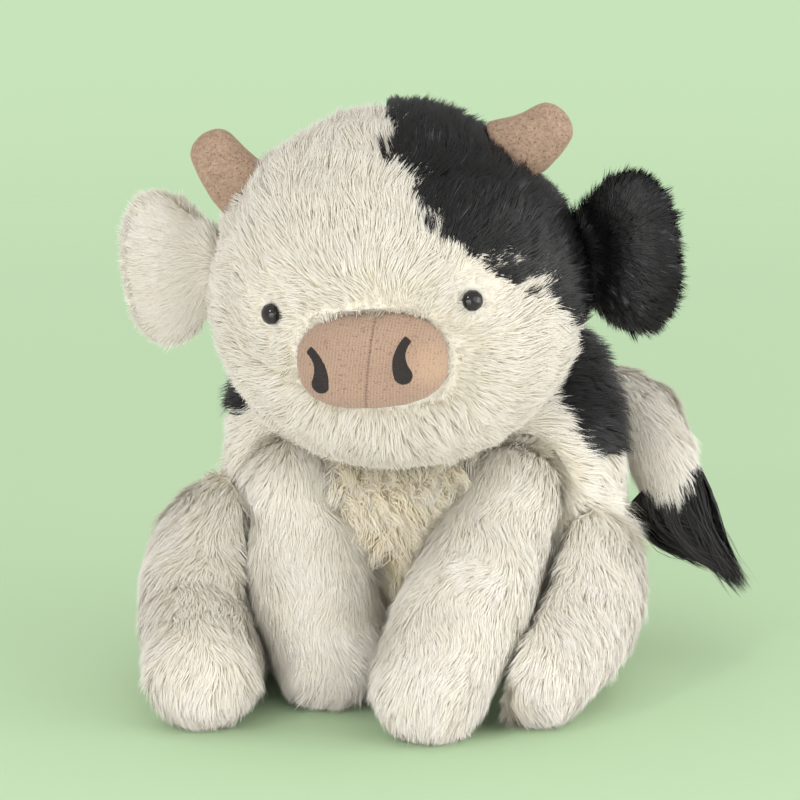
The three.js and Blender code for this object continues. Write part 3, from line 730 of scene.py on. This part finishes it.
def headLength(points, normals):
    # shorter round the eyes and beside the muzzle
    near = np.clip((muzzleReach(points) - 1) / 0.8, 0, 1)
    below = np.clip((muzzleMiddle[2] - 24 * mm - points[:, 2]) / (22 * mm), 0, 1)
    length = (0.46 + 0.54 * near) * (1 + 0.4 * below)
    for side in sides:
        length = np.minimum(length, growing(fromHorn(points, side), *faceValues["hornLength"]))
        length = np.minimum(length, growing(fromEye(points, side), *faceValues["eyeLength"]))
    return length


def headLean(points):
    # standing up against the muzzle, the eyes and the horns
    fromRim = np.abs(muzzleReach(points) - faceValues["rim"])
    lean = 0.36 + 0.64 * np.clip((fromRim - 0.03) / 0.6, 0, 1)
    for side in sides:
        lean = np.minimum(lean, growing(fromHorn(points, side), *faceValues["hornLean"]))
        lean = np.minimum(lean, growing(fromEye(points, side), *faceValues["eyeLean"]))
    return lean


coat = {
    "rows": 3, "length": 14, "width": 0.44, "leans": (60, 87), "twist": 8, "soft": 0.6,
    "lockOf": 34, "gather": 0.36, "uneven": 0.1, "swirl": 34, "swirlSize": 36, "stray": 11, "rise": 5,
    "patchSize": 38, "spare": 2.5,
}
darkCoat = {"length": 12, "leans": (26, 66), "soft": 0.7, "gather": 0.5, "lockOf": 14, "spare": 6}

headWhite = {**coat, "seed": 11, "count": 66000, "lengthAt": headLength, "leanAt": headLean}
headDark = {**coat, **darkCoat, "seed": 12, "count": 29000, "lengthAt": headLength}
grow("head_fur_white", "head", headWhite, headFlow, headKeep(False), shadedWhiteStrands, "white_plush")
grow("head_fur_black", "head", headDark, headFlow, headKeep(True), blackStrands, "black_plush")

trunkClear = outside(trees["head"], *(trees[limb] for limb in limbs))


def trunkKeep(black):
    def keep(points, normals):
        share = trunkBlack(points)
        return (share if black else 1 - share) * trunkClear(points, normals)
    return keep


limbTrees = [trees[limb] for limb in (*limbs, "tail", "head")]
trunkWhite = {**coat, "seed": 21, "count": 66000, "leanAt": liftNear(limbTrees, 11, 0.6),
              "lengthAt": longerNear(limbTrees, 14, 0.8)}
trunkDark = {**coat, **darkCoat, "seed": 22, "count": 17000, "spare": 8}
grow("trunk_fur_white", "trunk", trunkWhite, trunkFlow, trunkKeep(False), whiteStrands, "white_plush")
grow("trunk_fur_black", "trunk", trunkDark, trunkFlow, trunkKeep(True), blackStrands, "black_plush")


def chestKeep(points, normals):
    # the front of the trunk that shows between the front legs
    seen = (np.abs(points[:, 0]) < 44 * mm) & (points[:, 1] < -42 * mm) & (points[:, 2] > 34 * mm)
    return seen * trunkKeep(False)(points, normals)


chestCoat = {**coat, "seed": 23, "count": 12000, "rows": 6, "length": 17, "leans": (30, 72), "width": 0.4,
             "curl": 2.6, "turns": 1.3, "gather": 0.75, "lockOf": 24, "spare": 30}
grow("chest_curls", "trunk", chestCoat, trunkFlow, chestKeep, chestStrands, "white_plush")

legLines = {
    "front_leg_left": [(52, -69, 100), (27, -151, 30), 0.5],
    "front_leg_right": [(-52, -69, 100), (-31, -98, 30), 0.5],
    "hind_leg_left": [(76, 8, 54), (72, -115, 29), 1.6],
    "hind_leg_right": [(-76, 8, 54), (-83, -146, 29), 1.6],
}
trunkEdgeClear = outside(trees["trunk"])
trunkEdge = longerNear([trees["trunk"]], 13, 0.6)
chinEdge = longerNear([trees["head"]], 13, -0.5)


def legLength(points, normals):
    # longer along the seam with the trunk, and short under the chin
    return trunkEdge(points, normals) * chinEdge(points, normals)


for number, limb in enumerate(limbs):
    legCoat = {**coat, "seed": 31 + number, "count": 54000, "length": 13, "leans": (66, 88),
               "leanAt": liftNear([trees["trunk"]], 11, 0.68), "lengthAt": legLength}
    legFlow = limbFlow(*legLines[limb])
    grow(f"{limb}_fur", limb, legCoat, legFlow, trunkEdgeClear, whiteStrands, "white_plush")

tailStops = [(0, 70, 88), (32, 92, 100), (72, 80, 112), (100, 52, 109), (113, 25, 86)]
tailCoat = {**coat, "seed": 41, "count": 38000, "length": 13, "soft": 0.25, "leans": (74, 89)}
grow("tail_fur", "tail", tailCoat, pathFlow(tailStops, 0.7), trunkEdgeClear, whiteStrands, "white_plush")

earCoats = {
    "left": {**darkCoat, "length": 11, "leans": (30, 70), "stray": 14},
    "right": {"length": 9, "leans": (50, 84), "stray": 12, "gather": 0.25},
}
earCloth = {"left": (blackStrands, "black_plush"), "right": (shadedWhiteStrands, "white_plush")}
headEdgeClear = outside(trees["head"])
for number, side in enumerate(sides):
    earCoat = {**coat, **earCoats[side], "seed": 51 + number, "count": 30000}
    root = np.array(earRoots[side]) * mm
    grow(f"ear_{side}_fur", f"ear_{side}", earCoat, awayFrom(root), headEdgeClear, *earCloth[side])
print("fur grown")


tuftValues = {
    "count": 3800, "rows": 9, "width": 0.5, "length": 66, "halfWide": 19, "halfThick": 13, "bow": 7,
    "wave": 2.4, "stray": 0.1, "strayReach": 6,
    "start": (112.0, 26.0, 88.0), "hang": (0.568, -0.237, -0.789), "across": (0.72, 0.2, 0.5), "seed": 61,
}


def growTuft(values):
    # long hair from the tail's end: it swells, then draws together to a point with loose wisps
    rng = np.random.RandomState(values["seed"])
    count, rows = values["count"], values["rows"]
    hang = unit(np.array(values["hang"]))
    across = unit(np.array(values["across"]) - hang * np.dot(values["across"], hang))
    thick = np.cross(hang, across)
    angle = rng.uniform(0, 2 * math.pi, count)
    radius = np.sqrt(rng.rand(count))
    share = np.linspace(0, 1, rows)[None, :]
    swell = np.interp(share, [0, 0.1, 0.3, 0.6, 0.85, 1], [0.74, 1.0, 1.08, 0.78, 0.46, 0.26])
    reach = (1.06 - 0.17 * (1 - np.cos(angle)) - 0.5 * rng.rand(count) ** 1.6)[:, None]
    lock = np.round(angle * 1.8) / 1.8
    angles = angle[:, None] + (lock - angle)[:, None] * share * 0.95
    ringed = np.round(radius * 3) / 3
    radii = radius[:, None] + (ringed - radius)[:, None] * share * 0.9
    wide = np.cos(angles) * radii * values["halfWide"] * mm * swell
    deep = np.sin(angles) * radii * values["halfThick"] * mm * swell
    bow = np.sin(share * math.pi) * values["bow"] * mm
    middle = np.array(values["start"]) * mm
    run = share * reach * values["length"] * mm
    loose = np.where(rng.rand(count) < values["stray"], values["strayReach"], values["wave"]) * mm
    phase = (lock * 5 + 0.6 * rng.normal(size=count))[:, None]
    wide = wide + np.sin(phase + share * rng.uniform(3, 6, (count, 1))) * loose[:, None] * share
    deep = deep + np.cos(phase * 1.7 + share * 4) * loose[:, None] * share
    path = (middle + hang * run[..., None] + across * (wide - bow)[..., None] + thick * deep[..., None])
    outward = unit(across * np.cos(angle)[:, None] + thick * np.sin(angle)[:, None])
    ribbon = {"twist": 60, "soft": 0.6}
    widths = values["width"] * mm * rng.uniform(0.6, 1.2, count)
    tones = rng.uniform(0, 1, count) ** 2
    obj = ribbons("tail_tuft_hair", path, outward, widths, tones, ribbon, hairStrands, rng)
    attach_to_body(obj, "tail")
    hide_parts("tail_tuft")
    return obj


growTuft(tuftValues)


hornSuede = suedeFinish("horn_suede", "8c7461", "bda189", "665040")
for side in sides:
    hornForm = outerForm(f"horn_{side}_form", [f"horn_{side}"], {"voxel": 0.9, "smooth": 10, "inset": -0.4})
    obj = meshObject(f"horn_{side}_suede", hornForm, hornSuede)
    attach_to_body(obj, "head")
    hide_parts(f"horn_{side}")

muzzleMembers = ["muzzle", "nostril_left", "nostril_right"]
muzzleForm = outerForm("muzzle_form", muzzleMembers, {"voxel": 0.7, "smooth": 8, "inset": -0.2})
# the lighter spot's colour, place and reach below are painted light on the pad's left end
knitValues = {
    "low": "947866", "high": "bfa38c", "speck": "695041", "pressed": "cdad8d", "seam": "6c5446",
    "rib": 1.5, "seamWide": 0.5, "stitch": 1.5, "pressedAt": (29, 3), "pressedReach": 15,
}


def knitFinish(values):
    # fine upright ribs with dark specks, a stitched seam down the middle and a painted light spot at the
    # left end, where the side lamps fall on the pad
    finish = Finish("muzzle_knit", 0.85, Sheen_Weight=0.25, Sheen_Roughness=0.5)
    place = finish.add("ShaderNodeTexCoord", output=3)
    x = finish.add("ShaderNodeSeparateXYZ", {}, {0: place}, output=0) - float(muzzleMiddle[0])
    z = finish.add("ShaderNodeSeparateXYZ", {}, {0: place}, output=2) - float(muzzleMiddle[2])
    across = x * math.cos(roll) - z * math.sin(roll)
    up = x * math.sin(roll) + z * math.cos(roll)
    wander = finish.noise(240.0, 2.0)
    ribs = finish.sine((across + wander * 1.2 * mm) * (2 * math.pi / (values["rib"] * mm)))
    rows = finish.sine((up + wander * 0.8 * mm) * (2 * math.pi / (values["rib"] * 0.8 * mm)))
    grain = finish.noise(1500.0, 3.0, 0.6)
    cloud = finish.noise(70.0, 2.0)
    shade = ribs * 0.14 + rows * 0.07 + grain * 0.45 + cloud * 0.35 + 0.12
    base = finish.mix(shade, tint(values["low"]), tint(values["high"]))
    # painted light: the pad lighter round a spot at its left end, fading outwards
    gap = finish.length(across - values["pressedAt"][0] * mm, up - values["pressedAt"][1] * mm)
    pressed = finish.step(gap, values["pressedReach"] * mm, values["pressedReach"] * 0.2 * mm)
    base = finish.mix(pressed * 0.4, base, tint(values["pressed"]))
    specks = finish.step(finish.noise(1100.0, 1.0, 0.5), 0.6, 0.7)
    base = finish.mix(specks * (1 - pressed * 0.4) * 0.6, base, tint(values["speck"]))
    edge = finish.length(across + wander * 1.4 * mm - 0.7 * mm, 0.0)
    stitch = finish.sine(up * (2 * math.pi / (values["stitch"] * mm))) * 0.3 + 0.7
    seam = finish.step(edge, values["seamWide"] * 1.6 * mm, 0.0) * stitch
    finish.colour(finish.mix(seam * 0.8, base, tint(values["seam"])))
    finish.bump(ribs * 0.2 + rows * 0.1 + grain * 0.4 - seam * 1.5, 0.7, 0.5 * mm)
    return finish.material


muzzleKnit = knitFinish(knitValues)
obj = meshObject("muzzle_pad", muzzleForm, muzzleKnit)
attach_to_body(obj, "head")
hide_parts("muzzle")

stitchBlack = Finish("nostril_thread", 0.42, Specular_IOR_Level=0.45)
threadPlace = stitchBlack.add("ShaderNodeTexCoord", output=3)
threadUp = stitchBlack.add("ShaderNodeSeparateXYZ", {}, {0: threadPlace}, output=2)
threadLine = stitchBlack.sine((threadUp + stitchBlack.noise(300.0) * 0.8 * mm) * (2 * math.pi / (0.8 * mm)))
threadShade = threadLine * 0.2 + stitchBlack.noise(700.0) * 0.6 + 0.1
stitchBlack.colour(stitchBlack.mix(threadShade, tint("0d0a09"), tint("352c28")))
stitchBlack.bump(threadLine, 0.5, 0.3 * mm)
for side in sides:
    threadForm = {"voxel": 0.35, "smooth": 4, "inset": -0.5}
    nostrilForm = outerForm(f"nostril_{side}_form", [f"nostril_{side}"], threadForm)
    obj = meshObject(f"nostril_{side}_stitching", nostrilForm, stitchBlack.material)
    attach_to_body(obj, "head")
    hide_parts(f"nostril_{side}")

eyeGloss = Finish("eye_gloss", 0.06, Specular_IOR_Level=0.5, Coat_Weight=0.4)
eyeGloss.colour(eyeGloss.mix(eyeGloss.noise(120.0), tint("050404"), tint("120c0a")))
washerFinish = Finish("washer_plastic", 0.5)
washerFinish.colour(washerFinish.mix(washerFinish.noise(200.0), tint("ececea"), tint("f8f8f6")))
for side in sides:
    eyeForm = outerForm(f"eye_{side}_form", [f"eye_{side}"], {"voxel": 0.35, "smooth": 6, "inset": -0.25})
    obj = meshObject(f"eye_{side}_dome", eyeForm, eyeGloss.material)
    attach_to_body(obj, "head")
    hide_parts(f"eye_{side}")
    washer = nodes[f"eye_washer_{side}"]
    washer.data.materials.clear()
    washer.data.materials.append(washerFinish.material)
print("face made")


floorValues = {"radius": 4.0, "near": 0.35, "far": 1.6, "colour": "c8e7bc", "bounce": (0.92, 0.92, 0.88)}
worldValues = {"colour": (1.0, 0.985, 0.96), "strength": 0.8, "shown": "c8e4bb"}

bm = bmesh.new()
bmesh.ops.create_circle(bm, cap_ends=True, segments=96, radius=floorValues["radius"])
floorMesh = bpy.data.meshes.new("floor")
bm.to_mesh(floorMesh)
bm.free()
floorFinish = Finish("floor_paper", 0.9)
floorFinish.shader.inputs["Base Color"].default_value = (*tint(floorValues["colour"]), 1)
floor = meshObject("floor", floorMesh, floorFinish.material)

# the floor fades into the backdrop, and what it throws back on the fur is neutral
place = floorFinish.add("ShaderNodeTexCoord", output=3)
away = floorFinish.add("ShaderNodeVectorMath", {"operation": "LENGTH"}, {0: place}, output=1)
fade = floorFinish.add("ShaderNodeMapRange", {"interpolation_type": "SMOOTHSTEP"},
                       {"Value": away, "From Min": floorValues["near"], "From Max": floorValues["far"]})
clear = floorFinish.tree.nodes.new("ShaderNodeBsdfTransparent")
blend = floorFinish.tree.nodes.new("ShaderNodeMixShader")
links = floorFinish.tree.links
bounce = floorFinish.tree.nodes.new("ShaderNodeBsdfDiffuse")
bounce.inputs[0].default_value = (*floorValues["bounce"], 1)
seen = floorFinish.tree.nodes.new("ShaderNodeMixShader")
links.new(floorFinish.tree.nodes.new("ShaderNodeLightPath").outputs["Is Camera Ray"], seen.inputs[0])
links.new(bounce.outputs[0], seen.inputs[1])
links.new(floorFinish.shader.outputs[0], seen.inputs[2])
links.new(fade.socket, blend.inputs[0])
links.new(seen.outputs[0], blend.inputs[1])
links.new(clear.outputs[0], blend.inputs[2])
links.new(blend.outputs[0], floorFinish.tree.nodes["Material Output"].inputs[0])

# a plain dome of light, shown to the camera as the backdrop's green
scene = bpy.context.scene
world = bpy.data.worlds.new("studio")
scene.world = world
world.use_nodes = True
tree = world.node_tree
light = tree.nodes["Background"]
light.inputs[0].default_value = (*worldValues["colour"], 1)
light.inputs[1].default_value = worldValues["strength"]
shown = tree.nodes.new("ShaderNodeBackground")
shown.inputs[0].default_value = (*tint(worldValues["shown"]), 1)
shown.inputs[1].default_value = 1.0
rays = tree.nodes.new("ShaderNodeLightPath")
either = tree.nodes.new("ShaderNodeMixShader")
tree.links.new(rays.outputs["Is Camera Ray"], either.inputs[0])
tree.links.new(light.outputs[0], either.inputs[1])
tree.links.new(shown.outputs[0], either.inputs[2])
tree.links.new(either.outputs[0], tree.nodes["World Output"].inputs[0])


def areaLight(name, place, size, watts, colour):
    data = bpy.data.lights.new(name, "AREA")
    data.shape = "DISK"
    data.size = size
    data.energy = watts
    data.color = colour
    obj = bpy.data.objects.new(name, data)
    scene.collection.objects.link(obj)
    obj.location = place
    obj.rotation_euler = (Vector((0, -0.03, 0.12)) - Vector(place)).to_track_quat("-Z", "Y").to_euler()


areaLight("window", (1.6, -1.1, 0.5), 1.7, 7, (1.0, 0.99, 0.975))
areaLight("fill", (-0.3, -1.9, 0.06), 1.6, 16, (1.0, 0.995, 0.985))
areaLight("side", (1.5, -0.2, 0.3), 1.2, 7, (1.0, 0.995, 0.985))
areaLight("spark", (-0.5, -1.3, 0.95), 0.12, 2, (1.0, 1.0, 1.0))

cameraValues = {"azimuth": 10, "elevation": 13, "distance": 4.0, "view": 0.384, "aim": (0, -0.048, 0),
                "right": -0.0058, "up": 0.1344}
azimuth, elevation = (math.radians(cameraValues[k]) for k in ("azimuth", "elevation"))
back = Vector((math.sin(azimuth) * math.cos(elevation), -math.cos(azimuth) * math.cos(elevation),
               math.sin(elevation)))
right = Vector((math.cos(azimuth), math.sin(azimuth), 0))
up = back.cross(right)
camera = bpy.data.objects.new("camera", bpy.data.cameras.new("camera"))
scene.collection.objects.link(camera)
camera.location = (Vector(cameraValues["aim"]) + right * cameraValues["right"] + up * cameraValues["up"]
                   + back * cameraValues["distance"])
camera.rotation_euler = Matrix((right, up, back)).transposed().to_euler()
camera.data.sensor_width = 36
camera.data.lens = 36 * cameraValues["distance"] / cameraValues["view"]
camera.data.clip_end = 50
scene.camera = camera
scene.view_settings.view_transform = "Standard"
